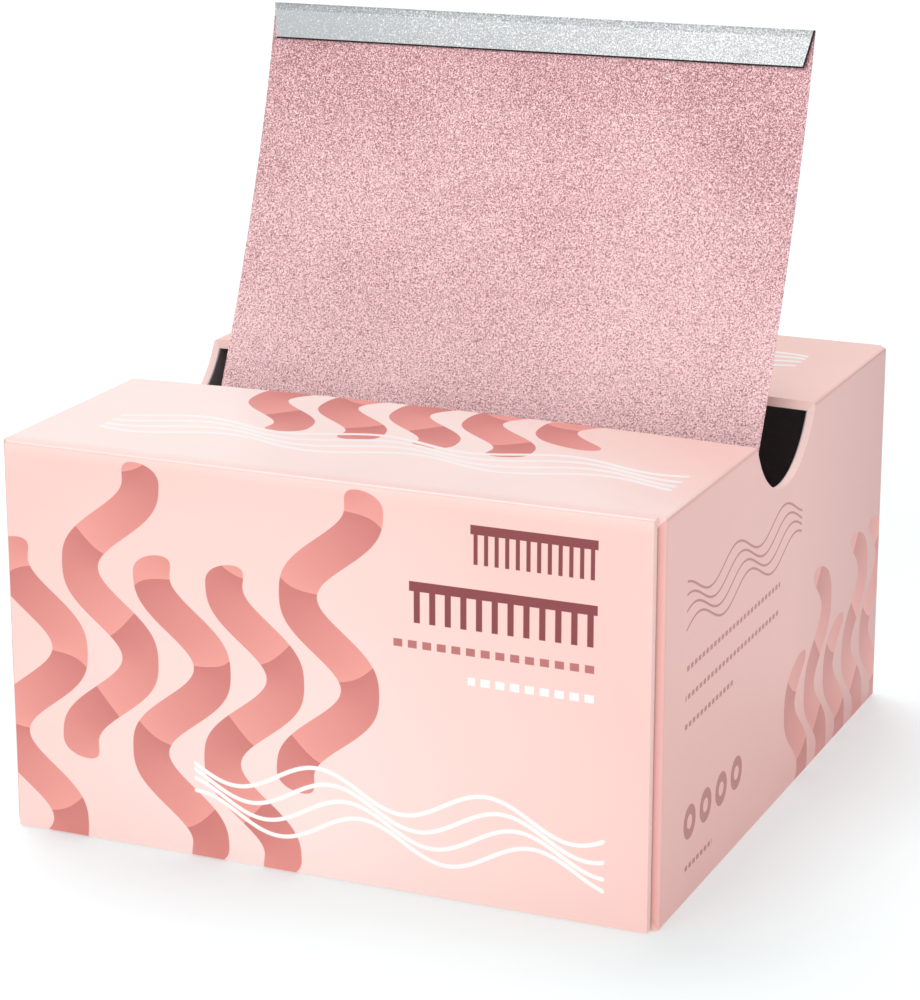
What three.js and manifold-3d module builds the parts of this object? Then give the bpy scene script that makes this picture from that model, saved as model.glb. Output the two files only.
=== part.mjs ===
// A folded board dispenser box for interfolded hair foils, with one sheet standing up through the
// slot in its top. Millimetres, +Z up. The origin is on the floor under the middle of the box, +X is
// to the right of the front face, and the front faces -Y.
import * as THREE from 'three';
import * as BufferGeometryUtils from 'three/addons/utils/BufferGeometryUtils.js';
import Module from 'manifold-3d';

// The box
const WIDTH = 144.5; // outside, along X
const DEPTH = 147; // the tube of four panels, along Y, without the outer flaps
const HEIGHT = 84.3;
const BOARD = 2; // board thickness, which is also the outer radius of a fold
const GAP = 0.3; // between pieces that touch
const SLOT_HALF = 19.8; // the slot reaches this far to the front and the back of the middle
const NOTCH_DEPTH = 13.2; // of the finger notches in the sides, at the ends of the slot
const FLAP_INSET = 1.8; // an outer flap is this much narrower than the tube at each side
const DUST_FLAP_REACH = 62;
const DUST_FLAP_TAPER = 6;
const GLUE_FLAP_HEIGHT = 16;
const GLUE_FLAP_TAPER = 9;

// The foils. One sheet is 5 by 11 inches, folded in half in the pack.
const SHEET_WIDTH = 127;
const SHEET_LENGTH = 279.4;
const FOIL = 0.6; // thickness of a single sheet's solid
const HEM = 8;
const HEM_MITRE = 2;
const HEM_GAP = 0.5;
const BUNDLES = 10;
const BUNDLE_HEIGHT = 3.4;
const BUNDLE_SHIFT = 0.5; // neighbours are shifted by this to the front or the back
const SHEET_TOP = 76.1; // the sheet's top edge is this far above the box
const SHEET_Y = 10.2; // where the sheet crosses the top of the box
const SHEET_LEAN = 0.478; // its slope to the rear there
const SHEET_CURL = 0.0016; // how the slope fades with height, per millimetre
const SHEET_SPLIT = -24; // height of the joint between the popped sheet and its tail
const TAIL_BEND = 6; // radius where the tail turns to lie on the pack
const TAIL_TURN = 0.8; // radius where it folds back under itself
const TAIL_FRONT = -66;
const TAIL_STEP = 0.05; // height step in looking for where the tail starts to bend
const ARC_STEPS = 8;
const SHEET_STEPS = 20;

const BOARD_COLOUR = 0xf3c4bb;
const FOIL_COLOUR = 0xe0a8ae;
const SILVER_COLOUR = 0xc9cacd;

const tubeFront = DEPTH / 2;
const flapInside = tubeFront + GAP;
const flapOutside = flapInside + BOARD;
const flapWidth = WIDTH - 2 * FLAP_INSET;
const seam = GAP / 2;
const packHeight = BUNDLES * (BUNDLE_HEIGHT + GAP);
const packTop = BOARD + packHeight;

const wasm = await Module();
wasm.setup();

function solid(geometry) {
  const bare = geometry.clone();
  bare.deleteAttribute('normal');
  bare.deleteAttribute('uv');
  const merged = BufferGeometryUtils.mergeVertices(bare, 1e-4);
  return new wasm.Manifold(new wasm.Mesh({
    numProp: 3,
    vertProperties: new Float32Array(merged.attributes.position.array),
    triVerts: new Uint32Array(merged.index.array),
  }));
}

function geometryOf(manifold) {
  const mesh = manifold.getMesh();
  const geometry = new THREE.BufferGeometry();
  geometry.setAttribute('position', new THREE.BufferAttribute(mesh.vertProperties, 3));
  geometry.setIndex(new THREE.BufferAttribute(mesh.triVerts, 1));
  geometry.computeVertexNormals();
  return geometry;
}

function piece(name, geometry, colour, roughness, metalness) {
  const material = new THREE.MeshStandardMaterial({ color: colour, roughness, metalness });
  const mesh = new THREE.Mesh(geometry, material);
  mesh.name = name;
  return mesh;
}

// A prism over an outline in the named plane, from one value of the third axis to another.
const BASES = {
  XY: [[1, 0, 0], [0, 1, 0], [0, 0, 1]],
  YZ: [[0, 1, 0], [0, 0, 1], [1, 0, 0]],
  XZ: [[1, 0, 0], [0, 0, 1], [0, -1, 0]],
};

function prism(plane, outline, from, to) {
  const shape = new THREE.Shape(outline.map(([a, b]) => new THREE.Vector2(a, b)));
  const geometry = new THREE.ExtrudeGeometry(shape, { depth: to - from, bevelEnabled: false });
  geometry.translate(0, 0, plane === 'XZ' ? -to : from);
  const axes = BASES[plane].map((axis) => new THREE.Vector3(...axis));
  return geometry.applyMatrix4(new THREE.Matrix4().makeBasis(...axes));
}

function arc(centreA, centreB, radius, startDegrees, endDegrees, steps = ARC_STEPS) {
  return Array.from({ length: steps + 1 }, (_, i) => {
    const angle = THREE.MathUtils.degToRad(startDegrees + ((endDegrees - startDegrees) * i) / steps);
    return [centreA + radius * Math.cos(angle), centreB + radius * Math.sin(angle)];
  });
}

// Half of a rounded fold: the end of a strip of board that lies to the left of a = 0 between b = 0,
// its outer face, and b = -BOARD. The end is mitred at 45 degrees, less half a gap, and rounded.
function foldEnd() {
  const start = 45 + THREE.MathUtils.radToDeg(Math.asin(seam / BOARD));
  return [[-BOARD - seam * Math.SQRT2, -BOARD], ...arc(-BOARD, -BOARD, BOARD, start, 90, 4)];
}

// A strip of board seen from its edge, with its outer face at b = top. Each end is folded down or
// cut square.
function strip(from, to, top, foldFrom, foldTo) {
  const end = foldEnd();
  const right = foldTo
    ? end.map(([a, b]) => [to + a, top + b])
    : [[to, top - BOARD], [to, top]];
  const left = foldFrom
    ? end.map(([a, b]) => [from - a, top + b]).reverse()
    : [[from, top], [from, top - BOARD]];
  return [...right, ...left];
}

const swap = (outline) => outline.map(([a, b]) => [b, a]);
const flip = (outline) => outline.map(([a, b]) => [a, -b]);

const boxPart = (name, geometry) => piece(name, geometry, BOARD_COLOUR, 0.5, 0);
const foilPart = (name, geometry, colour = FOIL_COLOUR) => piece(name, geometry, colour, 0.35, 0.85);

// The top panel is cut in two by the slot. Each part ends in a lip that folds down into its outer
// flap, and the lip stands past the tube by the flap's thickness.
function topPanel(name, end) {
  const mirror = (outline) => outline.map(([a, b]) => [a * end, b]);
  const across = prism('XZ', strip(-WIDTH / 2, WIDTH / 2, HEIGHT, true, true), -DEPTH, DEPTH);
  const along = prism('YZ', mirror([
    [SLOT_HALF, HEIGHT - BOARD], [tubeFront, HEIGHT - BOARD], [tubeFront, HEIGHT],
    [SLOT_HALF, HEIGHT],
  ]), -WIDTH, WIDTH);
  const lip = prism('YZ', mirror(strip(tubeFront - BOARD, flapOutside, HEIGHT, false, true)),
    -flapWidth / 2, flapWidth / 2);
  return boxPart(name, geometryOf(solid(across).intersect(solid(along)).add(solid(lip))));
}

function bottomPanel() {
  const section = flip(strip(-WIDTH / 2, WIDTH / 2, 0, true, true));
  return boxPart('bottom_panel', prism('XZ', section, -tubeFront, tubeFront));
}

// A side panel is folded at all four edges and has the finger notch cut into its top.
function sidePanel(name, side) {
  const out = (outline) => swap(outline).map(([a, b]) => [a * side, b]);
  const section = prism('XZ', out(strip(0, HEIGHT, WIDTH / 2, true, true)), -DEPTH, DEPTH);
  const plan = prism('XY', out(strip(-tubeFront, tubeFront, WIDTH / 2, true, true)), 0, HEIGHT);
  const radius = (SLOT_HALF ** 2 + NOTCH_DEPTH ** 2) / (2 * NOTCH_DEPTH);
  const notch = prism('YZ', arc(0, HEIGHT - NOTCH_DEPTH + radius, radius, 180, 540, 72).slice(1),
    -WIDTH, WIDTH);
  return boxPart(name, geometryOf(solid(section).intersect(solid(plan)).subtract(solid(notch))));
}

// A strip along the bottom left edge, glued inside the left panel.
function glueFlap() {
  const left = -WIDTH / 2 + BOARD + GAP;
  const bottom = BOARD + GAP;
  const end = tubeFront - BOARD - 2 * GAP;
  const outline = [
    [-end, bottom], [end, bottom], [end - GLUE_FLAP_TAPER, bottom + GLUE_FLAP_HEIGHT],
    [-end + GLUE_FLAP_TAPER, bottom + GLUE_FLAP_HEIGHT],
  ];
  return boxPart('side_glue_flap', prism('YZ', outline, left, left + BOARD));
}

// A flap folded in from a side panel, behind the outer flap, with a tapered free end.
function dustFlap(name, side, end) {
  const fold = strip(-WIDTH / 2, 0, tubeFront, true, false);
  const plan = prism('XY', fold.map(([a, b]) => [-a * side, b * end]), 0, HEIGHT);
  const root = WIDTH / 2;
  const tip = root - DUST_FLAP_REACH;
  const low = BOARD + GAP;
  const high = HEIGHT - BOARD - GAP;
  const face = prism('XZ', [
    [root, low], [root, high], [root - BOARD, high], [tip, high - DUST_FLAP_TAPER],
    [tip, low + DUST_FLAP_TAPER], [root - BOARD, low],
  ].map(([a, b]) => [a * side, b]), -DEPTH, DEPTH);
  return boxPart(name, geometryOf(solid(plan).intersect(solid(face))));
}

// An outer flap hangs from the fold along the lip of the top panel. Its group sits on that hinge
// line, which runs along the outer corner of the fold.
function outerFlap(name, end) {
  const section = swap(strip(-HEIGHT + GAP, 0, 0, false, true)).map(([a, b]) => [a * end, b]);
  const hinge = new THREE.Group();
  hinge.position.set(0, end * flapOutside, HEIGHT);
  hinge.add(boxPart(name, prism('YZ', section, -flapWidth / 2, flapWidth / 2)));
  return hinge;
}

// A strip of foil of even thickness along a centreline in the YZ plane.
function ribbon(line, width) {
  const sides = [[], []];
  line.forEach(([y, z], i) => {
    const before = line[Math.max(i - 1, 0)];
    const after = line[Math.min(i + 1, line.length - 1)];
    const along = new THREE.Vector2(after[0] - before[0], after[1] - before[1]).normalize();
    sides[0].push([y - (along.y * FOIL) / 2, z + (along.x * FOIL) / 2]);
    sides[1].unshift([y + (along.y * FOIL) / 2, z - (along.x * FOIL) / 2]);
  });
  return prism('YZ', [...sides[0], ...sides[1]], -width / 2, width / 2);
}

function lengthOf(line) {
  const steps = line.slice(1).map(([y, z], i) => Math.hypot(y - line[i][0], z - line[i][1]));
  return steps.reduce((sum, step) => sum + step, 0);
}

// The popped sheet's centreline at a height above the box, and its slope there.
const sheetY = (height) => SHEET_Y + SHEET_LEAN * height - SHEET_CURL * height * height;
const sheetSlope = (height) => SHEET_LEAN - 2 * SHEET_CURL * height;

function sheetLine(from, to, steps) {
  return Array.from({ length: steps + 1 }, (_, i) => {
    const height = from + ((to - from) * i) / steps;
    return [sheetY(height), HEIGHT + height];
  });
}

// From the popped sheet the tail comes down to the pack, bends to the front edge and folds back
// under itself with what is left of the sheet's length.
function tailLine() {
  const lower = packTop + FOIL + 2 * GAP + FOIL / 2;
  const upper = lower + 2 * TAIL_TURN;
  const turnAt = (height) => Math.PI / 2 - Math.atan(sheetSlope(height));
  const bottomAt = (height) => HEIGHT + height - TAIL_BEND * (1 - Math.cos(turnAt(height)));
  let bendFrom = SHEET_SPLIT;
  while (bottomAt(bendFrom) > upper) bendFrom -= TAIL_STEP;
  const turn = turnAt(bendFrom);
  const foot = sheetY(bendFrom) - TAIL_BEND * Math.sin(turn);
  const line = [
    ...sheetLine(SHEET_SPLIT - GAP, bendFrom, 6),
    ...arc(foot, upper + TAIL_BEND, TAIL_BEND, THREE.MathUtils.radToDeg(turn) - 90, -90).slice(1),
    ...arc(TAIL_FRONT, lower + TAIL_TURN, TAIL_TURN, 90, 270),
  ];
  const used = HEM + lengthOf(sheetLine(SHEET_TOP, SHEET_SPLIT, SHEET_STEPS)) + lengthOf(line);
  return [...line, [TAIL_FRONT + SHEET_LENGTH - used, lower]];
}

function poppedSheet() {
  return foilPart('popped_sheet', ribbon(sheetLine(SHEET_TOP, SHEET_SPLIT, SHEET_STEPS), SHEET_WIDTH));
}

function tail() {
  return foilPart('popped_sheet_tail', ribbon(tailLine(), SHEET_WIDTH));
}

// The hem is folded over the front of the sheet along its top edge, and its ends are mitred. Its
// group sits on the fold and leans with the sheet.
function hem() {
  const front = (FOIL + HEM_GAP) / 2;
  const lean = Math.atan(sheetSlope(SHEET_TOP));
  const outline = [
    [-SHEET_WIDTH / 2, 0], [SHEET_WIDTH / 2, 0],
    [SHEET_WIDTH / 2 - HEM_MITRE, -HEM], [-SHEET_WIDTH / 2 + HEM_MITRE, -HEM],
  ];
  const top = new THREE.Vector3(0, sheetY(SHEET_TOP), HEIGHT + SHEET_TOP);
  const fold = new THREE.Group();
  fold.position.copy(top).add(new THREE.Vector3(0, -front * Math.cos(lean), front * Math.sin(lean)));
  fold.rotation.x = -lean;
  const plate = prism('XZ', outline, -HEM_GAP / 2 - FOIL, -HEM_GAP / 2);
  fold.add(foilPart('popped_sheet_hem', plate, SILVER_COLOUR));
  return fold;
}

// A bundle of interfolded sheets: flat, with the sheets' folds rounding its front and back edges.
function bundle(index) {
  const half = SHEET_LENGTH / 4;
  const radius = BUNDLE_HEIGHT / 2;
  const section = [
    ...arc(half - radius, radius, radius, -90, 90, 6),
    ...arc(-half + radius, radius, radius, 90, 270, 6),
  ];
  const name = `foil_bundle_${String(index + 1).padStart(2, '0')}`;
  const mesh = foilPart(name, prism('YZ', section, -SHEET_WIDTH / 2, SHEET_WIDTH / 2));
  const shift = index % 2 ? BUNDLE_SHIFT : -BUNDLE_SHIFT;
  mesh.position.set(0, shift, BOARD + GAP + index * (BUNDLE_HEIGHT + GAP));
  return mesh;
}

function nextSheet() {
  const half = SHEET_LENGTH / 4;
  const z = packTop + GAP + FOIL / 2;
  return foilPart('next_sheet', ribbon([[half, z], [-half, z]], SHEET_WIDTH));
}

const box = new THREE.Group();
box.add(topPanel('top_front_panel', -1), topPanel('top_rear_panel', 1), bottomPanel());
box.add(sidePanel('left_side_panel', -1), sidePanel('right_side_panel', 1), glueFlap());
box.add(dustFlap('front_left_dust_flap', -1, -1), dustFlap('front_right_dust_flap', 1, -1));
box.add(dustFlap('rear_left_dust_flap', -1, 1), dustFlap('rear_right_dust_flap', 1, 1));
box.add(outerFlap('front_outer_flap', -1), outerFlap('rear_outer_flap', 1));

const foils = new THREE.Group();
for (let index = 0; index < BUNDLES; index += 1) foils.add(bundle(index));
foils.add(nextSheet());
foils.add(poppedSheet(), hem(), tail());

const group = new THREE.Group();
group.add(box, foils);

export default group;
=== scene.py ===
"""The looks of a pop-up foil dispenser box: a folded printed board box with one foil sheet standing
up through the slot in its top. Everything is in metres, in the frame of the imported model."""
import math

import bmesh
import bpy
import numpy as np
from mathutils import Matrix, Vector, noise


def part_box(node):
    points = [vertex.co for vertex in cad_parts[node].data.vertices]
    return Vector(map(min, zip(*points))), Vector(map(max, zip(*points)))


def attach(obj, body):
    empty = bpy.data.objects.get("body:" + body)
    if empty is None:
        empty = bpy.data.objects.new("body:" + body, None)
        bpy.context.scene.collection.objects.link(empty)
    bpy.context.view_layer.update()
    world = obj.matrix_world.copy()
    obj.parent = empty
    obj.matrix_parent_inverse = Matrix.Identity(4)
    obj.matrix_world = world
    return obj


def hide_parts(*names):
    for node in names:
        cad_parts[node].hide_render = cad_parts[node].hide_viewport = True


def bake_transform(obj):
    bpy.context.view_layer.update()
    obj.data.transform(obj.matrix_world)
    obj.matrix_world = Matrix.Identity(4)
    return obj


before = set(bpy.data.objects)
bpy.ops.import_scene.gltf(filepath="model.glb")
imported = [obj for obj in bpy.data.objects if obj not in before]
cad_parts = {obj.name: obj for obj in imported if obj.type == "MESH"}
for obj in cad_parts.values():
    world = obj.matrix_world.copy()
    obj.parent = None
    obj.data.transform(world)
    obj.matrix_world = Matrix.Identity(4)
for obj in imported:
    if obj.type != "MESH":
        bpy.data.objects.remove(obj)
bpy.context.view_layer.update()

MM = 0.001
# The board
BOARD = 2 * MM
FOLD_ROUND = 1 * MM  # of the folds along the top, the bottom and the flaps
CORNER_ROUND = 0.6 * MM  # of the upright folds
FOLD_STEPS = 6  # of each half of a fold
SLOT_BOW = 0.9 * MM  # the free edges of the top rise this much at their middle
BOW_STEPS = 26
RIM_ROUND = 0.8 * MM  # the outer edge of the slot and its notches
CUT_ROUND = 0.35 * MM  # every other cut edge
NOTCH_DEPTH = 13.2 * MM
# The foil
FOIL = 0.16 * MM
SHEET_STEP = 1.3 * MM  # between the points of a sheet's mesh
SHEET_LENGTH = 279.4 * MM
SHEET_Y = 10.2 * MM  # where the sheet crosses the top of the box
SHEET_LEAN = 0.478  # its slope to the rear there
SHEET_CURL = 1.6  # how the slope fades with height, per metre
SHEET_TOP = 75.9 * MM  # its top edge is this far above the box
SHEET_TILT = 0.0065  # how far its top edge is out of level, as a slope
SHEET_SPREAD = 1.007  # its width as a multiple of its solid's width
SHEET_SHIFT = 0.2 * MM  # how far to the right it stands
HEM = 8 * MM
HEM_MITRE = 1.5 * MM  # each end of the hem is this much shorter at its free edge
HEM_EDGE = 0.35 * MM  # the width of the painted shadow line along its edges
HEM_FOLD_SHADE = 1.3 * MM  # the width of the painted shade, a duller band, along its fold
HEM_GAP = 0.3 * MM  # inside its fold
HEM_STAND = 0.8 * MM  # the hem's free edge stands this far off the sheet
HEM_STEPS = 16
TAIL_BEND = 6 * MM  # radius where the tail turns to lie on the pack
TAIL_TURN = 0.8 * MM  # radius where it folds back under itself
DUST_FLAP_TAPER = 6 * MM
GLUE_FLAP_TAPER = 9 * MM
TOUCHING = 1e-6  # points closer than this are at the same place

# From the frame
HALF_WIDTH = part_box("right_side_panel")[1].x
HALF_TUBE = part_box("bottom_panel")[1].y
HALF_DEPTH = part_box("rear_outer_flap")[1].y
HALF_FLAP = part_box("rear_outer_flap")[1].x
FLAP_INSIDE = HALF_DEPTH - BOARD
FLAP_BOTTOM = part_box("rear_outer_flap")[0].z
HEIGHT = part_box("top_rear_panel")[1].z
SLOT_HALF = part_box("top_rear_panel")[0].y
HALF_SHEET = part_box("popped_sheet")[1].x
SHEET_COLUMNS = 2 * math.ceil(HALF_SHEET / SHEET_STEP)
TAIL_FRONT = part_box("popped_sheet_tail")[0].y + 1.1 * MM  # the centre of the tail's turn at the front
TAIL_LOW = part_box("popped_sheet_tail")[0].z + 0.3 * MM  # the level of its lower half
SHEET_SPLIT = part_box("popped_sheet")[0].z


# ---------------------------------------------------------------- mesh helpers
def new_object(name, vertices, faces):
    mesh = bpy.data.meshes.new(name)
    mesh.from_pydata([tuple(v) for v in vertices], [], faces)
    mesh.validate()
    obj = bpy.data.objects.new(name, mesh)
    bpy.context.scene.collection.objects.link(obj)
    return obj


PLANES = {"XY": (0, 1, 2), "YZ": (1, 2, 0), "XZ": (0, 2, 1)}


def prism(plane, outline, low, high, name="prism"):
    """A closed prism over an outline in the named plane, from low to high along the third axis."""
    first, second, third = PLANES[plane]
    count = len(outline)
    vertices = []
    for level in (low, high):
        for a, b in outline:
            point = [0, 0, 0]
            point[first], point[second], point[third] = a, b, level
            vertices.append(point)
    faces = [list(range(count))[::-1], list(range(count, 2 * count))]
    faces += [[i, (i + 1) % count, count + (i + 1) % count, count + i] for i in range(count)]
    obj = new_object(name, vertices, faces)
    edit(obj, lambda bm: bmesh.ops.recalc_face_normals(bm, faces=bm.faces))
    return obj


def edit(obj, change):
    """Runs a function on the object's mesh as a bmesh."""
    bm = bmesh.new()
    bm.from_mesh(obj.data)
    change(bm)
    bm.to_mesh(obj.data)
    bm.free()
    obj.data.update()


def combine(target, tool, operation):
    """Changes the target by a boolean operation with the tool, which is used up."""
    modifier = target.modifiers.new("combine", "BOOLEAN")
    modifier.operation = operation
    modifier.object = tool
    modifier.solver = "EXACT"
    graph = bpy.context.evaluated_depsgraph_get()
    mesh = bpy.data.meshes.new_from_object(target.evaluated_get(graph))
    target.modifiers.clear()
    target.data = mesh
    bpy.data.objects.remove(tool)
    edit(target, lambda bm: bmesh.ops.remove_doubles(bm, verts=bm.verts, dist=TOUCHING))


def arc(centre_a, centre_b, radius, start, end, steps):
    """Points along an arc, with its ends in degrees."""
    angles = [math.radians(start + (end - start) * i / steps) for i in range(steps + 1)]
    return [(centre_a + radius * math.cos(t), centre_b + radius * math.sin(t)) for t in angles]


def rounded_rectangle(half_a, low_b, high_b, radius):
    corners = [(half_a, high_b, 0), (-half_a, high_b, 90), (-half_a, low_b, 180), (half_a, low_b, 270)]
    outline = []
    for a, b, start in corners:
        centre_a = a - math.copysign(radius, a)
        centre_b = b - radius if b == high_b else b + radius
        outline += arc(centre_a, centre_b, radius, start, start + 90, 2 * FOLD_STEPS)
    return outline


def cut_with_plane(obj, point, normal):
    """Keeps what is behind the plane and closes the cut."""

    def change(bm):
        everything = bm.verts[:] + bm.edges[:] + bm.faces[:]
        cut = bmesh.ops.bisect_plane(
            bm, geom=everything, dist=1e-7, plane_co=point, plane_no=normal, clear_outer=True
        )
        edges = [e for e in cut["geom_cut"] if isinstance(e, bmesh.types.BMEdge) and e.is_boundary]
        bmesh.ops.edgeloop_fill(bm, edges=edges)

    edit(obj, change)


def copy_of(obj, name):
    other = obj.copy()
    other.data = obj.data.copy()
    other.name = other.data.name = name
    bpy.context.scene.collection.objects.link(other)
    return other


def bevel_edges(obj, wanted, width, segments):
    def change(bm):
        edges = [e for e in bm.edges if len(e.link_faces) == 2 and wanted(e)]
        bmesh.ops.bevel(
            bm, geom=edges, offset=width, segments=segments, profile=0.5, affect="EDGES",
            clamp_overlap=True,
        )

    edit(obj, change)


def soften(obj, angle=32):
    """Smooth shading with sharp edges past an angle, with the flat faces kept flat."""
    for polygon in obj.data.polygons:
        polygon.use_smooth = True
    obj.data.set_sharp_from_angle(angle=math.radians(angle))
    weighted = obj.modifiers.new("weighted normals", "WEIGHTED_NORMAL")
    weighted.keep_sharp = True
    weighted.weight = 80


# ---------------------------------------------------------------- shader helpers
class Field:
    """A number that varies over a surface, built from math nodes."""

    def __init__(self, tree, socket):
        self.tree = tree
        self.socket = socket

    def math(self, operation, *others, clamp=False):
        node = self.tree.nodes.new("ShaderNodeMath")
        node.operation = operation
        node.use_clamp = clamp
        for slot, value in zip(node.inputs, (self, *others)):
            if isinstance(value, Field):
                self.tree.links.new(value.socket, slot)
            else:
                slot.default_value = value
        return Field(self.tree, node.outputs[0])

    def __add__(self, other):
        return self.math("ADD", other)

    def __sub__(self, other):
        return self.math("SUBTRACT", other)

    def __mul__(self, other):
        return self.math("MULTIPLY", other)

    def __truediv__(self, other):
        return self.math("DIVIDE", other)

    def clamped(self, low, high):
        return self.math("MAXIMUM", low).math("MINIMUM", high)

    def within(self, limit, edge):
        """1 where the value is below the limit, 0 above it, with a soft edge."""
        return (self - limit).math("MULTIPLY_ADD", -1 / edge, 0.5, clamp=True)


PRINT_EDGE = 0.12  # the softness of a printed edge, in millimetres


class Painter:
    """Builds one material. Lengths in its fields are millimetres."""

    def __init__(self, name):
        self.material = bpy.data.materials.new(name)
        self.material.use_nodes = True
        self.tree = self.material.node_tree
        self.shader = self.tree.nodes["Principled BSDF"]
        coordinates = self.tree.nodes.new("ShaderNodeTexCoord")
        self.place = coordinates.outputs["Object"]
        split = self.tree.nodes.new("ShaderNodeSeparateXYZ")
        self.tree.links.new(self.place, split.inputs[0])
        self.x, self.y, self.z = (Field(self.tree, s) * 1000 for s in split.outputs)

    def set(self, **values):
        for name, value in values.items():
            self.shader.inputs[name.replace("_", " ")].default_value = value

    def link(self, source, target):
        self.tree.links.new(source.socket if isinstance(source, Field) else source, target)

    def noise(self, scale, detail=2.0, roughness=0.5, distortion=0.0, stretch=(1, 1, 1)):
        mapping = self.tree.nodes.new("ShaderNodeMapping")
        mapping.inputs["Scale"].default_value = stretch
        self.link(self.place, mapping.inputs["Vector"])
        node = self.tree.nodes.new("ShaderNodeTexNoise")
        node.inputs["Scale"].default_value = scale
        node.inputs["Detail"].default_value = detail
        node.inputs["Roughness"].default_value = roughness
        node.inputs["Distortion"].default_value = distortion
        self.link(mapping.outputs[0], node.inputs["Vector"])
        return Field(self.tree, node.outputs[0])

    def colour(self, rgb):
        node = self.tree.nodes.new("ShaderNodeRGB")
        node.outputs[0].default_value = (*linear(rgb), 1)
        return node.outputs[0]

    def mix(self, share, first, second):
        node = self.tree.nodes.new("ShaderNodeMix")
        node.data_type = "RGBA"
        self.link(share, node.inputs["Factor"])
        for source, target in ((first, node.inputs[6]), (second, node.inputs[7])):
            if isinstance(source, tuple):
                target.default_value = (*linear(source), 1)
            else:
                self.link(source, target)
        return node.outputs[2]

    def bump(self, heights, distance, strength=1.0):
        node = self.tree.nodes.new("ShaderNodeBump")
        node.inputs["Distance"].default_value = distance
        node.inputs["Strength"].default_value = strength
        self.link(heights, node.inputs["Height"])
        self.link(node.outputs[0], self.shader.inputs["Normal"])


def linear(rgb):
    """A colour of 0 to 255 as seen on a screen, in linear light."""
    return tuple((c / 255 / 12.92) if c < 11 else ((c / 255 + 0.055) / 1.055) ** 2.4 for c in rgb)


# ---------------------------------------------------------------- the print, with a painted highlight and painted shade
PINK = (250, 204, 196)
# The next pink is the colour of the painted highlight on the front and the top.
HIGHLIGHT_PINK = (255, 240, 235)
SIDE_PINK = (243, 186, 179)
# The next pink is painted shade, for one end of each side.
SHADED_SIDE_PINK = (216, 160, 154)
SALMON_LIGHT = (240, 158, 148)
SALMON_DARK = (208, 120, 114)
DARK_RED = (138, 58, 64)
ROSE_INK = (190, 112, 110)
WHITE = (252, 248, 246)
STRAND_LEAD = 0.55  # each strand's wave is this far ahead of the one below it, in radians
TONE_STEP = 17  # a lock's tone runs from light to dark over this length, then starts again


def lock(along, across, start, end, centre, lean, swing, wavelength, phase, half_width):
    """How much of a wavy band with round ends covers a place, and how far along it the place is."""
    turn = 2 * math.pi / wavelength
    angle = along.math("MULTIPLY_ADD", turn, phase)
    off = across - (angle.math("SINE") * swing + along * lean + centre)
    slope = angle.math("COSINE").math("MULTIPLY_ADD", swing * turn, lean)
    steep = slope * slope + 1
    past = ((along - (start + end) / 2).math("ABSOLUTE") - (end - start) / 2).math("MAXIMUM", 0)
    distance = (past * past + off * off / steep).math("SQRT")
    return distance.within(half_width, PRINT_EDGE), along + slope * off / steep


def bar(u, v, left, right, bottom, top):
    """A plain rectangle."""
    across = (u - (left + right) / 2).math("ABSOLUTE") - (right - left) / 2
    up = (v - (bottom + top) / 2).math("ABSOLUTE") - (top - bottom) / 2
    return across.math("MAXIMUM", up).within(0, PRINT_EDGE)


def stripes(u, pitch, share, offset=0.0):
    """Stripes across u, each covering a share of the pitch."""
    place = (u - offset).math("DIVIDE", pitch).math("FRACT")
    return ((place - 0.5).math("ABSOLUTE") - share / 2).within(0, PRINT_EDGE / pitch)


def comb(u, v, left, right, bottom, top, pitch):
    """A plain comb: a back along the top and teeth below it."""
    back = bar(u, v, left, right, top - 0.24 * (top - bottom), top)
    teeth = bar(u, v, left, right, bottom, top) * stripes(u, pitch, 0.4, left)
    return back.math("MAXIMUM", teeth)


def disc(u, v, centre_u, centre_v, radius):
    across, up = u - centre_u, v - centre_v
    return (across * across + up * up).math("SQRT").within(radius, PRINT_EDGE)


def print_locks(painter, colour, u, v, locks):
    """Paints wavy salmon bands, each with a tone that runs from light to dark in steps."""
    for index, shape in enumerate(locks):
        cover, along = lock(v, u, *shape)
        tone = (along - shape[0] - 5 - 4 * (index % 2)).math("DIVIDE", TONE_STEP).math("FRACT")
        ink = painter.mix(tone, SALMON_LIGHT, SALMON_DARK)
        colour = painter.mix(cover, colour, ink)
    return colour


def print_strands(painter, colour, u, v, ink, wave, count, gap, width):
    """Paints thin wavy lines beside each other. wave is the lowest one's start, end, level, rise, swing
    and wavelength."""
    start, end, level, rise, swing, wavelength = wave
    cover = None
    for index in range(count):
        shape = (start, end, level + gap * index, rise, swing, wavelength, STRAND_LEAD * index, width / 2)
        line, _ = lock(u, v, *shape)
        cover = line if cover is None else cover.math("MAXIMUM", line)
    return painter.mix(cover, colour, ink)


LOCK_LEAN = 0.03
FRONT_LOCK = (LOCK_LEAN, 7, 38, 1.07, 4.2)  # lean, swing, wavelength, phase, half width
SIDE_LOCK = (LOCK_LEAN, 5.4, 32, 0.9, 3.7)
# start, end, centre; those past the height of the box lie on its top
FRONT_LOCKS = [(*place, *FRONT_LOCK) for place in (
    (-16, 60, -65), (22, 79, -48.5), (3, 60, -32), (3, 60, -15.5), (22, 79, 1),
    (117, 170, -32), (117, 170, -15.5), (117, 170, 1), (117, 170, 17.5), (128, 170, 34),
)]
SIDE_LOCKS = [(*place, *SIDE_LOCK) for place in (
    (-16, 26, 12), (-16, 42, 26), (-16, 26, 40), (-16, 42, 54), (-16, 42, 68),
)]
PRINT_RIGHT = 59.4  # where the combs and dashes of the front end
SIDE_LEFT = -61  # where the lines of the side begin
FRONT_HIGHLIGHT = (-10, 8, 0.6, 85)  # a painted highlight, a soft pool of light on the middle of the front: its place, strength and radius


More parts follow.
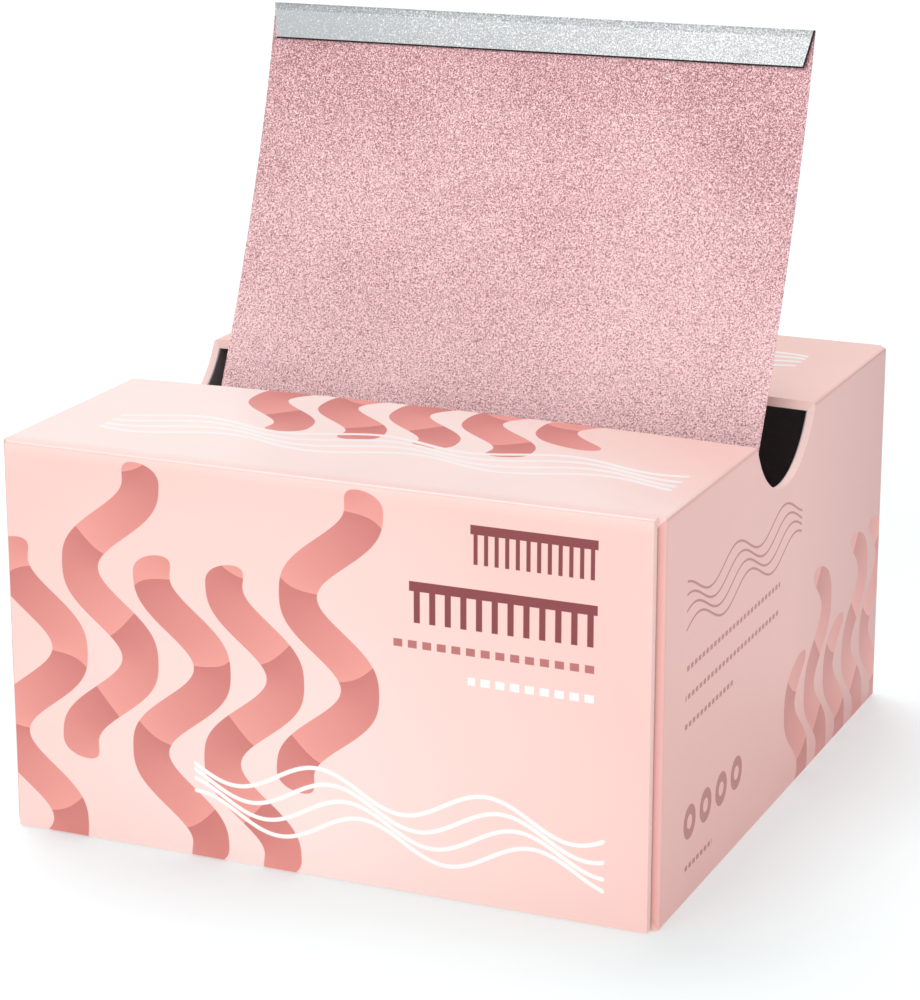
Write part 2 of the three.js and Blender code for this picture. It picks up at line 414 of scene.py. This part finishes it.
def face_print(painter, u, v, ground, pale):
    """The front or the rear face, which goes on over the fold into the top."""
    # Painted highlight: the pale colour stands in for light, as a sheen over the top that is strongest at
    # its front left and fades to the right and rear, and as a soft pool on the middle of the front.
    over_fold = v.math("MULTIPLY_ADD", 1 / 8, -HEIGHT / MM / 8 + 0.35, clamp=True)
    top_highlight = (u + v * 1.2).math("MULTIPLY_ADD", -1 / 60, 3.75, clamp=True) * 0.8
    highlight_u, highlight_v, strength, radius = FRONT_HIGHLIGHT
    across, up = u - highlight_u, v - highlight_v
    middle = (across * across + up * up).math("SQRT")
    middle = middle.math("MULTIPLY_ADD", -strength / radius, strength, clamp=True)
    painted_highlight = middle + (top_highlight - middle) * over_fold
    colour = print_locks(painter, painter.mix(painted_highlight, ground, pale), u, v, FRONT_LOCKS)
    colour = painter.mix(comb(u, v, 33, PRINT_RIGHT, 71, 79, 2.2), colour, DARK_RED)
    colour = painter.mix(comb(u, v, 20, PRINT_RIGHT, 57.5, 66, 3.3), colour, DARK_RED)
    dashes = stripes(u, 3.1, 0.62, 16)
    colour = painter.mix(bar(u, v, 16, PRINT_RIGHT, 52.2, 53.8) * dashes, colour, ROSE_INK)
    colour = painter.mix(bar(u, v, 32.5, PRINT_RIGHT, 46.2, 47.8) * dashes, colour, WHITE)
    colour = print_strands(painter, colour, u, v, WHITE, (-28, 61, 11, -0.01, 3.4, 37), 4, 3.1, 0.9)
    return print_strands(painter, colour, u, v, WHITE, (-58, 66, 105, 0.02, 2.6, 41), 4, 3.4, 1.4)


def side_print(painter, u, v):
    # Painted shade: the side's pink darkens along u, towards the rear on the right side and towards the
    # front on the left side, where u runs the other way.
    rear = u.math("MULTIPLY_ADD", 1 / 75, -0.1, clamp=True)
    colour = print_locks(painter, painter.mix(rear, SIDE_PINK, SHADED_SIDE_PINK), u, v, SIDE_LOCKS)
    wave = (SIDE_LEFT, 12, 56.5, -0.02, 2.4, 31)
    colour = print_strands(painter, colour, u, v, ROSE_INK, wave, 4, 2.7, 0.5)
    for right, level in ((-2, 49.5), (-2, 43.5), (-32, 37.5)):
        dashes = stripes(u, 2.3, 0.66, level)
        colour = painter.mix(bar(u, v, SIDE_LEFT, right, level, level + 1.1) * dashes, colour, ROSE_INK)
    for index in range(4):
        centre = -57 + 9.6 * index
        ring = disc(u, v, centre, 17, 3.6) - disc(u, v, centre, 17, 1.5)
        colour = painter.mix(ring, colour, ROSE_INK)
    return painter.mix(bar(u, v, -60, -43, 7, 8.1) * stripes(u, 2.3, 0.66), colour, ROSE_INK)


def board_material(name, paint):
    """Satin laminated board with a print."""
    painter = Painter(name)
    colour = paint(painter)
    mottle = painter.noise(45, 3, 0.55)
    shade = mottle.math("MULTIPLY_ADD", 0.06, 0.97)
    tinted = painter.tree.nodes.new("ShaderNodeMix")
    tinted.data_type = "RGBA"
    tinted.blend_type = "MULTIPLY"
    tinted.inputs["Factor"].default_value = 1
    painter.link(colour, tinted.inputs[6])
    painter.link(shade, tinted.inputs[7])
    painter.link(tinted.outputs[2], painter.shader.inputs["Base Color"])
    painter.set(Roughness=0.33, Specular_IOR_Level=0.5)
    ripple = painter.noise(900, 2, 0.5) * 0.35 + painter.noise(60, 2, 0.4)
    painter.bump(ripple, 0.00006, 0.5)
    return painter.material


def core_material():
    """The cut edge of the board: pale fibres between two faces."""
    painter = Painter("board_core")
    fibres = painter.noise(2600, 3, 0.7)
    painter.link(painter.mix(fibres, (255, 231, 226), (253, 208, 202)), painter.shader.inputs["Base Color"])
    painter.set(Roughness=0.8, Specular_IOR_Level=0.25)
    painter.bump(fibres, 0.0001, 0.6)
    return painter.material


def inside_material():
    """The unprinted inside of the board: grey and fibrous."""
    painter = Painter("board_inside")
    fibres = painter.noise(700, 4, 0.6)
    painter.link(painter.mix(fibres, (158, 146, 148), (180, 168, 170)), painter.shader.inputs["Base Color"])
    painter.set(Roughness=0.85, Specular_IOR_Level=0.2)
    painter.bump(fibres, 0.0001, 0.4)
    return painter.material


def foil_material(name, light, dark, left_darkening=0):
    """Embossed foil: fine worm-like grain in relief, with painted glints and a slow change of tone, and
    with painted light that makes it lighter near the box. Given the last argument, it darkens towards the
    left."""
    painter = Painter(name)
    grain = painter.noise(2900, 2, 0.55, 0.4)
    # Painted glints: fine light specks in the colour stand in for light catching the embossing.
    painted_glints = painter.noise(4600, 1, 0.5)
    slow = painter.noise(26, 2, 0.5)
    # Painted light: the tone is raised towards the box, in full below 90 mm and fading out by 150 mm.
    low = painter.z.math("MULTIPLY_ADD", -1 / 60, 150 / 60, clamp=True)
    tone = (grain - 0.5) * 2.8 + (painted_glints - 0.5) * 1.8 + (slow - 0.5) * 0.4 + low * 0.28 + 0.36
    # The last argument darkens the tone towards the left.
    if left_darkening:
        tone = tone - painter.x.math("MULTIPLY_ADD", -1 / 110, 0.42, clamp=True) * left_darkening
    painter.link(painter.mix(tone.clamped(0, 1), dark, light), painter.shader.inputs["Base Color"])
    painter.set(Metallic=0.6, Roughness=0.42)
    painter.bump(grain, 0.00012, 0.7)
    return painter.material


def pack_material():
    """The edges of many sheets: thin level lines."""
    painter = Painter("foil_pack_edges")
    layers = painter.noise(1500, 2, 0.6, 0, (0.02, 0.02, 6))
    painter.link(painter.mix(layers, (150, 92, 100), (240, 196, 200)), painter.shader.inputs["Base Color"])
    painter.set(Metallic=0.9, Roughness=0.42)
    painter.bump(layers, 0.0003, 0.8)
    return painter.material


def front_face(painter):
    return face_print(painter, painter.x, painter.z + painter.y + HALF_DEPTH / MM, PINK, HIGHLIGHT_PINK)


def rear_face(painter):
    return face_print(painter, painter.x * -1, painter.z - painter.y + HALF_DEPTH / MM, PINK, PINK)


FRONT_PRINT = board_material("front_print", front_face)
REAR_PRINT = board_material("rear_print", rear_face)
RIGHT_PRINT = board_material("right_print", lambda p: side_print(p, p.y, p.z))
LEFT_PRINT = board_material("left_print", lambda p: side_print(p, p.y * -1, p.z))
PLAIN_PRINT = board_material("plain_print", lambda p: p.colour(PINK))
CORE = core_material()
INSIDE = inside_material()
ROSE = foil_material("rose_foil", (255, 215, 217), (146, 95, 100))
SILVER = foil_material("silver_foil", (246, 247, 248), (150, 152, 154))
HEM_SILVER = foil_material("silver_foil_hem", (255, 255, 255), (175, 178, 180), 0.5)
# Painted shade: a darker silver for the band along the hem's fold.
SHADED_FOLD_SILVER = foil_material("silver_foil_fold_shade", (234, 236, 237), (150, 153, 155), 0.3)
# Painted shadow: near-black foil for the line of shadow the hem casts along its free edge and its right
# end.
HEM_SHADOW_LINE = foil_material("foil_painted_shadow_line", (40, 26, 28), (24, 15, 17))
PACK = pack_material()


# ---------------------------------------------------------------- the box
def outward(point, half_depth):
    """The direction out of the board at a point of a rounded box."""
    centre = Vector((0, 0, HEIGHT / 2))
    half = Vector((HALF_WIDTH, half_depth, HEIGHT / 2))
    offset = point - centre
    past = Vector([max(abs(offset[i]) - (half[i] - FOLD_ROUND), 0) for i in range(3)])
    if past.length < 0.2 * MM:
        nearest = max(range(3), key=lambda i: abs(offset[i]) - half[i])
        past = Vector([1.0 if i == nearest else 0.0 for i in range(3)])
    return Vector([math.copysign(past[i], offset[i]) for i in range(3)]).normalized()


def paint_board(obj, printed, direction):
    """Print on the outside, core on the cut edges, unprinted board on the inside."""
    obj.data.materials.clear()
    for material in (printed, CORE, INSIDE):
        obj.data.materials.append(material)
    for polygon in obj.data.polygons:
        facing = polygon.normal.dot(direction(polygon.center))
        polygon.material_index = 0 if facing > 0.3 else 2 if facing < -0.3 else 1


def finish_board(obj, node, printed, half_depth=HALF_TUBE, body="root", direction=None):
    paint_board(obj, printed, direction or (lambda p: outward(p, half_depth)))
    soften(obj)
    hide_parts(node)
    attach(obj, body)


def strip(low, high, top, fold_low, fold_high):
    """A strip of board seen from its edge, with its outer face at top. Each end is mitred and rounded
    for a fold, or cut square."""
    end = [(-BOARD, -BOARD), *arc(-FOLD_ROUND, -FOLD_ROUND, FOLD_ROUND, 45, 90, FOLD_STEPS)]
    right = [(high + a, top + b) for a, b in end] if fold_high else [(high, top - BOARD), (high, top)]
    left = [(low - a, top + b) for a, b in end[::-1]] if fold_low else [(low, top), (low, top - BOARD)]
    return right + left


NOTCH_RADIUS = (SLOT_HALF**2 + NOTCH_DEPTH**2) / (2 * NOTCH_DEPTH)
NOTCH_CENTRE = HEIGHT - NOTCH_DEPTH + NOTCH_RADIUS


def on_notch(vertex):
    return abs(math.hypot(vertex.co.y, vertex.co.z - NOTCH_CENTRE) - NOTCH_RADIUS) < 0.03 * MM


def depth_in_tube(point):
    """How deep a point is under the outside of the tube."""
    a = abs(point.x) - (HALF_WIDTH - FOLD_ROUND)
    b = abs(point.z - HEIGHT / 2) - (HEIGHT / 2 - FOLD_ROUND)
    return FOLD_ROUND - (math.hypot(a, b) if a > 0 and b > 0 else max(a, b))


def carton():
    """The tube of four panels with the slot and its notches, and with the lips its outer flaps hang
    from, as one solid."""
    tube = prism("XZ", rounded_rectangle(HALF_WIDTH, 0, HEIGHT, FOLD_ROUND), -HALF_TUBE, HALF_TUBE, "tube")
    room = [
        (-HALF_WIDTH + BOARD, BOARD), (HALF_WIDTH - BOARD, BOARD),
        (HALF_WIDTH - BOARD, HEIGHT - BOARD), (-HALF_WIDTH + BOARD, HEIGHT - BOARD),
    ]
    combine(tube, prism("XZ", room, -1, 1), "DIFFERENCE")
    plan = rounded_rectangle(HALF_WIDTH, -HALF_TUBE, HALF_TUBE, CORNER_ROUND)
    combine(tube, prism("XY", plan, -1, 1), "INTERSECT")
    for end in (-1, 1):
        lip = [(a * end, b) for a, b in strip(HALF_TUBE - BOARD, HALF_DEPTH, HEIGHT, False, True)]
        combine(tube, prism("YZ", lip, -HALF_FLAP, HALF_FLAP), "UNION")
    notch = arc(0, NOTCH_CENTRE, NOTCH_RADIUS, 0, 360, 120)[:-1]
    combine(tube, prism("YZ", notch, -1, 1), "DIFFERENCE")

    def rim(depth):
        return lambda e: all(on_notch(v) and abs(depth_in_tube(v.co) - depth) < 0.03 * MM for v in e.verts)

    bevel_edges(tube, rim(0), RIM_ROUND, 4)
    bevel_edges(tube, rim(BOARD), CUT_ROUND, 2)
    return tube


def bow(panel):
    """Lifts the middle of a top panel's free edge."""

    def change(bm):
        for axis, half in ((Vector((1, 0, 0)), HALF_WIDTH), (Vector((0, 1, 0)), HALF_TUBE)):
            for i in range(1, BOW_STEPS):
                everything = bm.verts[:] + bm.edges[:] + bm.faces[:]
                place = axis * half * (2 * i / BOW_STEPS - 1)
                bmesh.ops.bisect_plane(bm, geom=everything, dist=1e-7, plane_co=place, plane_no=axis)
        for vertex in bm.verts:
            across = max(0.0, 1 - (vertex.co.x / (HALF_WIDTH - BOARD)) ** 2)
            back = (HALF_TUBE - abs(vertex.co.y)) / (HALF_TUBE - SLOT_HALF)
            vertex.co.z += SLOT_BOW * across * max(0.0, back) ** 1.5

    edit(panel, change)


def box_panels():
    """Cuts the carton along its folds into its panels."""
    whole = carton()
    fold = {}
    for side in (-1, 1):
        for level, up in ((HEIGHT - BOARD, 1), (BOARD, -1)):
            fold[side, up] = Vector((side * (HALF_WIDTH - BOARD), 0, level))
    for name, end, printed in (("top_front_panel", -1, FRONT_PRINT), ("top_rear_panel", 1, REAR_PRINT)):
        panel = copy_of(whole, name)
        for side in (-1, 1):
            cut_with_plane(panel, fold[side, 1], Vector((side, 0, -1)))
        cut_with_plane(panel, Vector(), Vector((0, -end, 0)))
        bow(panel)
        finish_board(panel, name, printed, HALF_DEPTH)
    bottom = copy_of(whole, "bottom_panel")
    for side in (-1, 1):
        cut_with_plane(bottom, fold[side, -1], Vector((side, 0, 1)))
    finish_board(bottom, "bottom_panel", PLAIN_PRINT)
    for name, side, printed in (("left_side_panel", -1, LEFT_PRINT), ("right_side_panel", 1, RIGHT_PRINT)):
        panel = copy_of(whole, name)
        for up in (-1, 1):
            cut_with_plane(panel, fold[side, up], Vector((-side, 0, up)))
        finish_board(panel, name, printed)
    bpy.data.objects.remove(whole)


def dust_flap(name, side, end):
    """A flap folded in from a side panel, with a tapered free end."""
    low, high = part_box(name)
    tip = min(abs(low.x), abs(high.x))
    root = HALF_WIDTH - BOARD
    tip_low, tip_high = low.z + DUST_FLAP_TAPER, high.z - DUST_FLAP_TAPER
    face = [(root, low.z), (root, high.z), (tip, tip_high), (tip, tip_low)]
    flap = prism("XZ", [(a * side, b) for a, b in face], low.y, high.y, name)

    def cut_edge(edge):
        return not all(abs(abs(v.co.x) - root) < TOUCHING for v in edge.verts)

    bevel_edges(flap, cut_edge, CUT_ROUND, 2)
    finish_board(flap, name, PLAIN_PRINT, direction=lambda p: Vector((0, end, 0)))


def outer_flap(name, end, printed, body):
    """A flap hanging from the fold at the front or the rear of the top."""
    section = [(b * end, a) for a, b in strip(FLAP_BOTTOM, HEIGHT, HALF_DEPTH, False, True)]
    flap = prism("YZ", section, -HALF_FLAP, HALF_FLAP, name)

    def cut_edge(edge):
        level = HEIGHT - BOARD - 0.01 * MM
        at_side = all(abs(abs(v.co.x) - HALF_FLAP) < TOUCHING for v in edge.verts)
        at_bottom = all(abs(v.co.z - FLAP_BOTTOM) < TOUCHING for v in edge.verts)
        off_fold = all(v.co.z < level or abs(v.co.y) > FLAP_INSIDE for v in edge.verts)
        return (at_side or at_bottom) and off_fold

    bevel_edges(flap, cut_edge, CUT_ROUND, 3)
    finish_board(flap, name, printed, HALF_DEPTH, body)


def glue_flap():
    low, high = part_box("side_glue_flap")
    front, rear = low.y + GLUE_FLAP_TAPER, high.y - GLUE_FLAP_TAPER
    outline = [(low.y, low.z), (high.y, low.z), (rear, high.z), (front, high.z)]
    flap = prism("YZ", outline, low.x, high.x, "side_glue_flap")
    bevel_edges(flap, lambda e: True, CUT_ROUND, 2)
    finish_board(flap, "side_glue_flap", INSIDE, direction=lambda p: Vector((-1, 0, 0)))


# ---------------------------------------------------------------- the foils
def sheet_y(height):
    return SHEET_Y + SHEET_LEAN * height - SHEET_CURL * height * height


def sheet_slope(height):
    return SHEET_LEAN - 2 * SHEET_CURL * height


def settle(obj):
    """The sheet stands a little askew, to the right and with its left side lower, and it is a little
    wider than its solid."""
    for vertex in obj.data.vertices:
        high = min(1.0, max(0.0, (vertex.co.z - HEIGHT) / SHEET_TOP))
        vertex.co.z += SHEET_TILT * high * vertex.co.x
        vertex.co.x = vertex.co.x * SHEET_SPREAD + SHEET_SHIFT


def sheet_line():
    """The popped sheet's centreline in the YZ plane, from its top edge down to the end of its tail."""
    upper = TAIL_LOW + 2 * TAIL_TURN

    def turn_at(height):
        return math.pi / 2 - math.atan(sheet_slope(height))

    bend = SHEET_SPLIT - HEIGHT
    while HEIGHT + bend - TAIL_BEND * (1 - math.cos(turn_at(bend))) > upper:
        bend -= 0.05 * MM
    steps = 80
    heights = [SHEET_TOP + (bend - SHEET_TOP) * i / steps for i in range(steps + 1)]
    line = [(sheet_y(h), HEIGHT + h) for h in heights]
    turn = math.degrees(turn_at(bend))
    foot = sheet_y(bend) - TAIL_BEND * math.sin(math.radians(turn))
    line += arc(foot, upper + TAIL_BEND, TAIL_BEND, turn - 90, -90, 8)[1:]
    line += arc(TAIL_FRONT, TAIL_LOW + TAIL_TURN, TAIL_TURN, 90, 270, 8)
    used = sum(math.dist(a, b) for a, b in zip(line, line[1:]))
    return line + [(TAIL_FRONT + SHEET_LENGTH - HEM - used, TAIL_LOW)]


def spaced(line, step):
    """The line again, with points a step apart."""
    points = np.array(line)
    along = np.concatenate([[0], np.cumsum(np.linalg.norm(np.diff(points, axis=0), axis=1))])
    at = np.linspace(0, along[-1], math.ceil(along[-1] / step) + 1)
    return [(np.interp(t, along, points[:, 0]), np.interp(t, along, points[:, 1])) for t in at]


def thin_sheet(name, line, half_widths, ripple, front, back):
    """A closed thin sheet along a line in the YZ plane, with a half width at each of its points. ripple
    gives how far it stands off the line at a place. Its front has one material and its back another. Its
    outermost columns are as wide as the hem's dark line."""
    columns = SHEET_COLUMNS
    across = [2 * j / columns - 1 for j in range(columns + 1)]
    across[1], across[-2] = -1 + HEM_EDGE / HALF_SHEET, 1 - HEM_EDGE / HALF_SHEET
    rows = len(line)
    before, behind = [], []
    for i, (y, z) in enumerate(line):
        last, following = line[max(i - 1, 0)], line[min(i + 1, rows - 1)]
        along = Vector((0, following[0] - last[0], following[1] - last[1])).normalized()
        normal = Vector((0, along.z, -along.y))
        for share_of_half in across:
            x = share_of_half * half_widths[i]
            middle = Vector((x, y, z)) + normal * ripple(x, i / (rows - 1))
            before.append(middle + normal * FOIL / 2)
            behind.append(middle - normal * FOIL / 2)
    count = len(before)
    faces = []
    for i in range(rows - 1):
        for j in range(columns):
            a = i * (columns + 1) + j
            faces.append([a, a + 1, a + columns + 2, a + columns + 1])
    one_side = len(faces)
    faces += [[v + count for v in face[::-1]] for face in faces]
    border = list(range(columns + 1))
    border += [i * (columns + 1) + columns for i in range(1, rows)]
    border += [(rows - 1) * (columns + 1) + j for j in range(columns - 1, -1, -1)]
    border += [i * (columns + 1) for i in range(rows - 2, 0, -1)]
    for a, b in zip(border, border[1:] + border[:1]):
        faces.append([b, a, a + count, b + count])
    obj = new_object(name, before + behind, faces)
    edit(obj, lambda bm: bmesh.ops.recalc_face_normals(bm, faces=bm.faces))
    obj.data.materials.append(front)
    obj.data.materials.append(back)
    for index, polygon in enumerate(obj.data.polygons):
        polygon.use_smooth = True
        polygon.material_index = 1 if one_side <= index < 2 * one_side else 0
    obj.data.set_sharp_from_angle(angle=math.radians(60))
    return obj


def popped_sheet():
    line = spaced(sheet_line(), SHEET_STEP)
    length = SHEET_LENGTH - HEM

    def ripple(x, share):
        along = share * length
        free = min(1.0, along / (20 * MM)) * max(0.0, 1 - along / (125 * MM))
        return 0.5 * MM * free * noise.noise(Vector((x / 0.045, along / 0.05, 3.1)))

    sheet = thin_sheet("popped_sheet", line, [HALF_SHEET] * len(line), ripple, ROSE, SILVER)
    settle(sheet)
    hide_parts("popped_sheet", "popped_sheet_tail")
    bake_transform(sheet)
    return sheet


def hem():
    """The top edge folded over the front: a round fold, then a strip with mitred ends that stands a
    little off the sheet."""
    lean = math.atan(sheet_slope(SHEET_TOP))
    down = Vector((0, -math.sin(lean), -math.cos(lean)))
    out = Vector((0, -math.cos(lean), math.sin(lean)))
    top = Vector((0, sheet_y(SHEET_TOP), HEIGHT + SHEET_TOP))
    radius = HEM_GAP / 2 + FOIL / 2
    axis = top + out * radius
    line = []
    for a, b in arc(0, 0, radius, 180, 0, 8)[1:]:
        line.append(axis + out * a - down * b * 0.4)
    for share in [i / HEM_STEPS for i in range(1, HEM_STEPS)] + [1 - HEM_EDGE / HEM, 1]:
        line.append(axis + out * (radius + (HEM_STAND - radius) * share**1.5) + down * HEM * share)
    widths = [HALF_SHEET - HEM_MITRE * max(0.0, (p - axis).dot(down)) / HEM for p in line]
    flat = [(p.y, p.z) for p in line]
    folded = thin_sheet("popped_sheet_hem", flat, widths, lambda x, share: 0, HEM_SILVER, ROSE)
    folded.data.materials.append(HEM_SHADOW_LINE)
    folded.data.materials.append(SHADED_FOLD_SILVER)
    shadow_line_slot, fold_shade_slot = 2, 3
    rows = len(line) - 1
    one_side = rows * SHEET_COLUMNS
    for index, polygon in enumerate(folded.data.polygons):
        row, column = divmod(index, SHEET_COLUMNS)
        in_front = index < one_side
        at_edge = column == SHEET_COLUMNS - 1 or row == rows - 1
        # Painted shadow: the right end column, the free-edge row and the cut edges take the dark line.
        if index >= 2 * one_side or (in_front and at_edge):
            polygon.material_index = shadow_line_slot
        # Painted shade: the band along the fold takes the darker silver.
        elif in_front and (polygon.center - axis).dot(down) < HEM_FOLD_SHADE:
            polygon.material_index = fold_shade_slot
    settle(folded)
    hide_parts("popped_sheet_hem")
    axis + down * 0.7 * MM
    axis + down * 2.2 * MM
    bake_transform(folded)
    return folded


def next_sheet():
    low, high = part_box("next_sheet")
    level = (low.z + high.z) / 2
    line = spaced([(low.y, level), (high.y, level)], 2 * SHEET_STEP)

    def ripple(x, share):
        return 0.15 * MM * noise.noise(Vector((x / 0.03, share * 4, 8.2)))

    sheet = thin_sheet("next_sheet", line, [HALF_SHEET] * len(line), ripple, ROSE, ROSE)
    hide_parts("next_sheet")
    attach(sheet, "root")
    return sheet


def pack():
    for name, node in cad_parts.items():
        if name.startswith("foil_bundle"):
            node.data.materials.clear()
            node.data.materials.append(PACK)


# ---------------------------------------------------------------- the studio
AMBIENT = 0.62  # strength of the even light from all around
GLARE = (0.2, (-0.45, 0.85, 0.28))  # a panel seen only in reflections: its strength and direction
KEY = (1.2, 34, (-0.32, 0.3, 0.9))  # strength, angle in degrees, where it comes from
FILL = (1.25, 60, (-0.2, -0.96, 0.15))


def sun(name, strength, angle, source):
    light = bpy.data.lights.new(name, "SUN")
    light.energy = strength
    light.angle = math.radians(angle)
    lamp = bpy.data.objects.new(name, light)
    lamp.rotation_euler = Vector(source).to_track_quat("Z", "Y").to_euler()
    bpy.context.scene.collection.objects.link(lamp)


def studio():
    bpy.ops.mesh.primitive_plane_add(size=12)
    floor = bpy.context.object
    floor.name = "floor"
    painter = Painter("floor")
    painter.shader.inputs["Base Color"].default_value = (0.62, 0.69, 0.7, 1)
    painter.shader.inputs["Emission Color"].default_value = (1, 1, 1, 1)
    painter.set(Roughness=0.9, Specular_IOR_Level=0.0, Emission_Strength=0.38)
    floor.data.materials.append(painter.material)

    world = bpy.data.worlds.new("studio")
    bpy.context.scene.world = world
    world.use_nodes = True
    tree = world.node_tree
    background = tree.nodes["Background"]
    background.inputs["Color"].default_value = (1, 1, 1, 1)
    seen = tree.nodes.new("ShaderNodeLightPath")
    direction = tree.nodes.new("ShaderNodeTexCoord")
    facing = tree.nodes.new("ShaderNodeVectorMath")
    facing.operation = "DOT_PRODUCT"
    facing.inputs[1].default_value = GLARE[1]
    tree.links.new(direction.outputs["Generated"], facing.inputs[0])
    panel = Field(tree, facing.outputs["Value"]).math("MAXIMUM", 0).math("POWER", 6) * GLARE[0]
    glare = panel * Field(tree, seen.outputs["Is Glossy Ray"])
    strength = Field(tree, seen.outputs["Is Camera Ray"]).math("MULTIPLY_ADD", 1 - AMBIENT, glare + AMBIENT)
    tree.links.new(strength.socket, background.inputs["Strength"])
    sun("key", *KEY)
    sun("fill", *FILL)
    bpy.context.scene.view_settings.view_transform = "Standard"


CAMERA_TARGET = Vector((-0.00198, 0, 0.0592))
CAMERA_DISTANCE = 0.6992
CAMERA_AZIMUTH = 23.41
CAMERA_ELEVATION = 16.5


def camera():
    azimuth, elevation = math.radians(CAMERA_AZIMUTH), math.radians(CAMERA_ELEVATION)
    back = Vector((
        math.sin(azimuth) * math.cos(elevation),
        -math.cos(azimuth) * math.cos(elevation),
        math.sin(elevation),
    ))
    lens = bpy.data.cameras.new("camera")
    lens.lens = 115
    lens.sensor_width = 36
    lens.clip_start = 0.01
    eye = bpy.data.objects.new("camera", lens)
    eye.matrix_world = Matrix.Translation(CAMERA_TARGET + back * CAMERA_DISTANCE) @ (
        back.to_track_quat("Z", "Y").to_matrix().to_4x4()
    )
    bpy.context.scene.collection.objects.link(eye)
    bpy.context.scene.camera = eye


camera()
studio()
box_panels()
for side, side_name in ((-1, "left"), (1, "right")):
    for end, end_name in ((-1, "front"), (1, "rear")):
        dust_flap(f"{end_name}_{side_name}_dust_flap", side, end)
outer_flap("front_outer_flap", -1, FRONT_PRINT, "front_flap")
outer_flap("rear_outer_flap", 1, REAR_PRINT, "rear_flap")
glue_flap()
popped_sheet()
hem()
next_sheet()
pack()
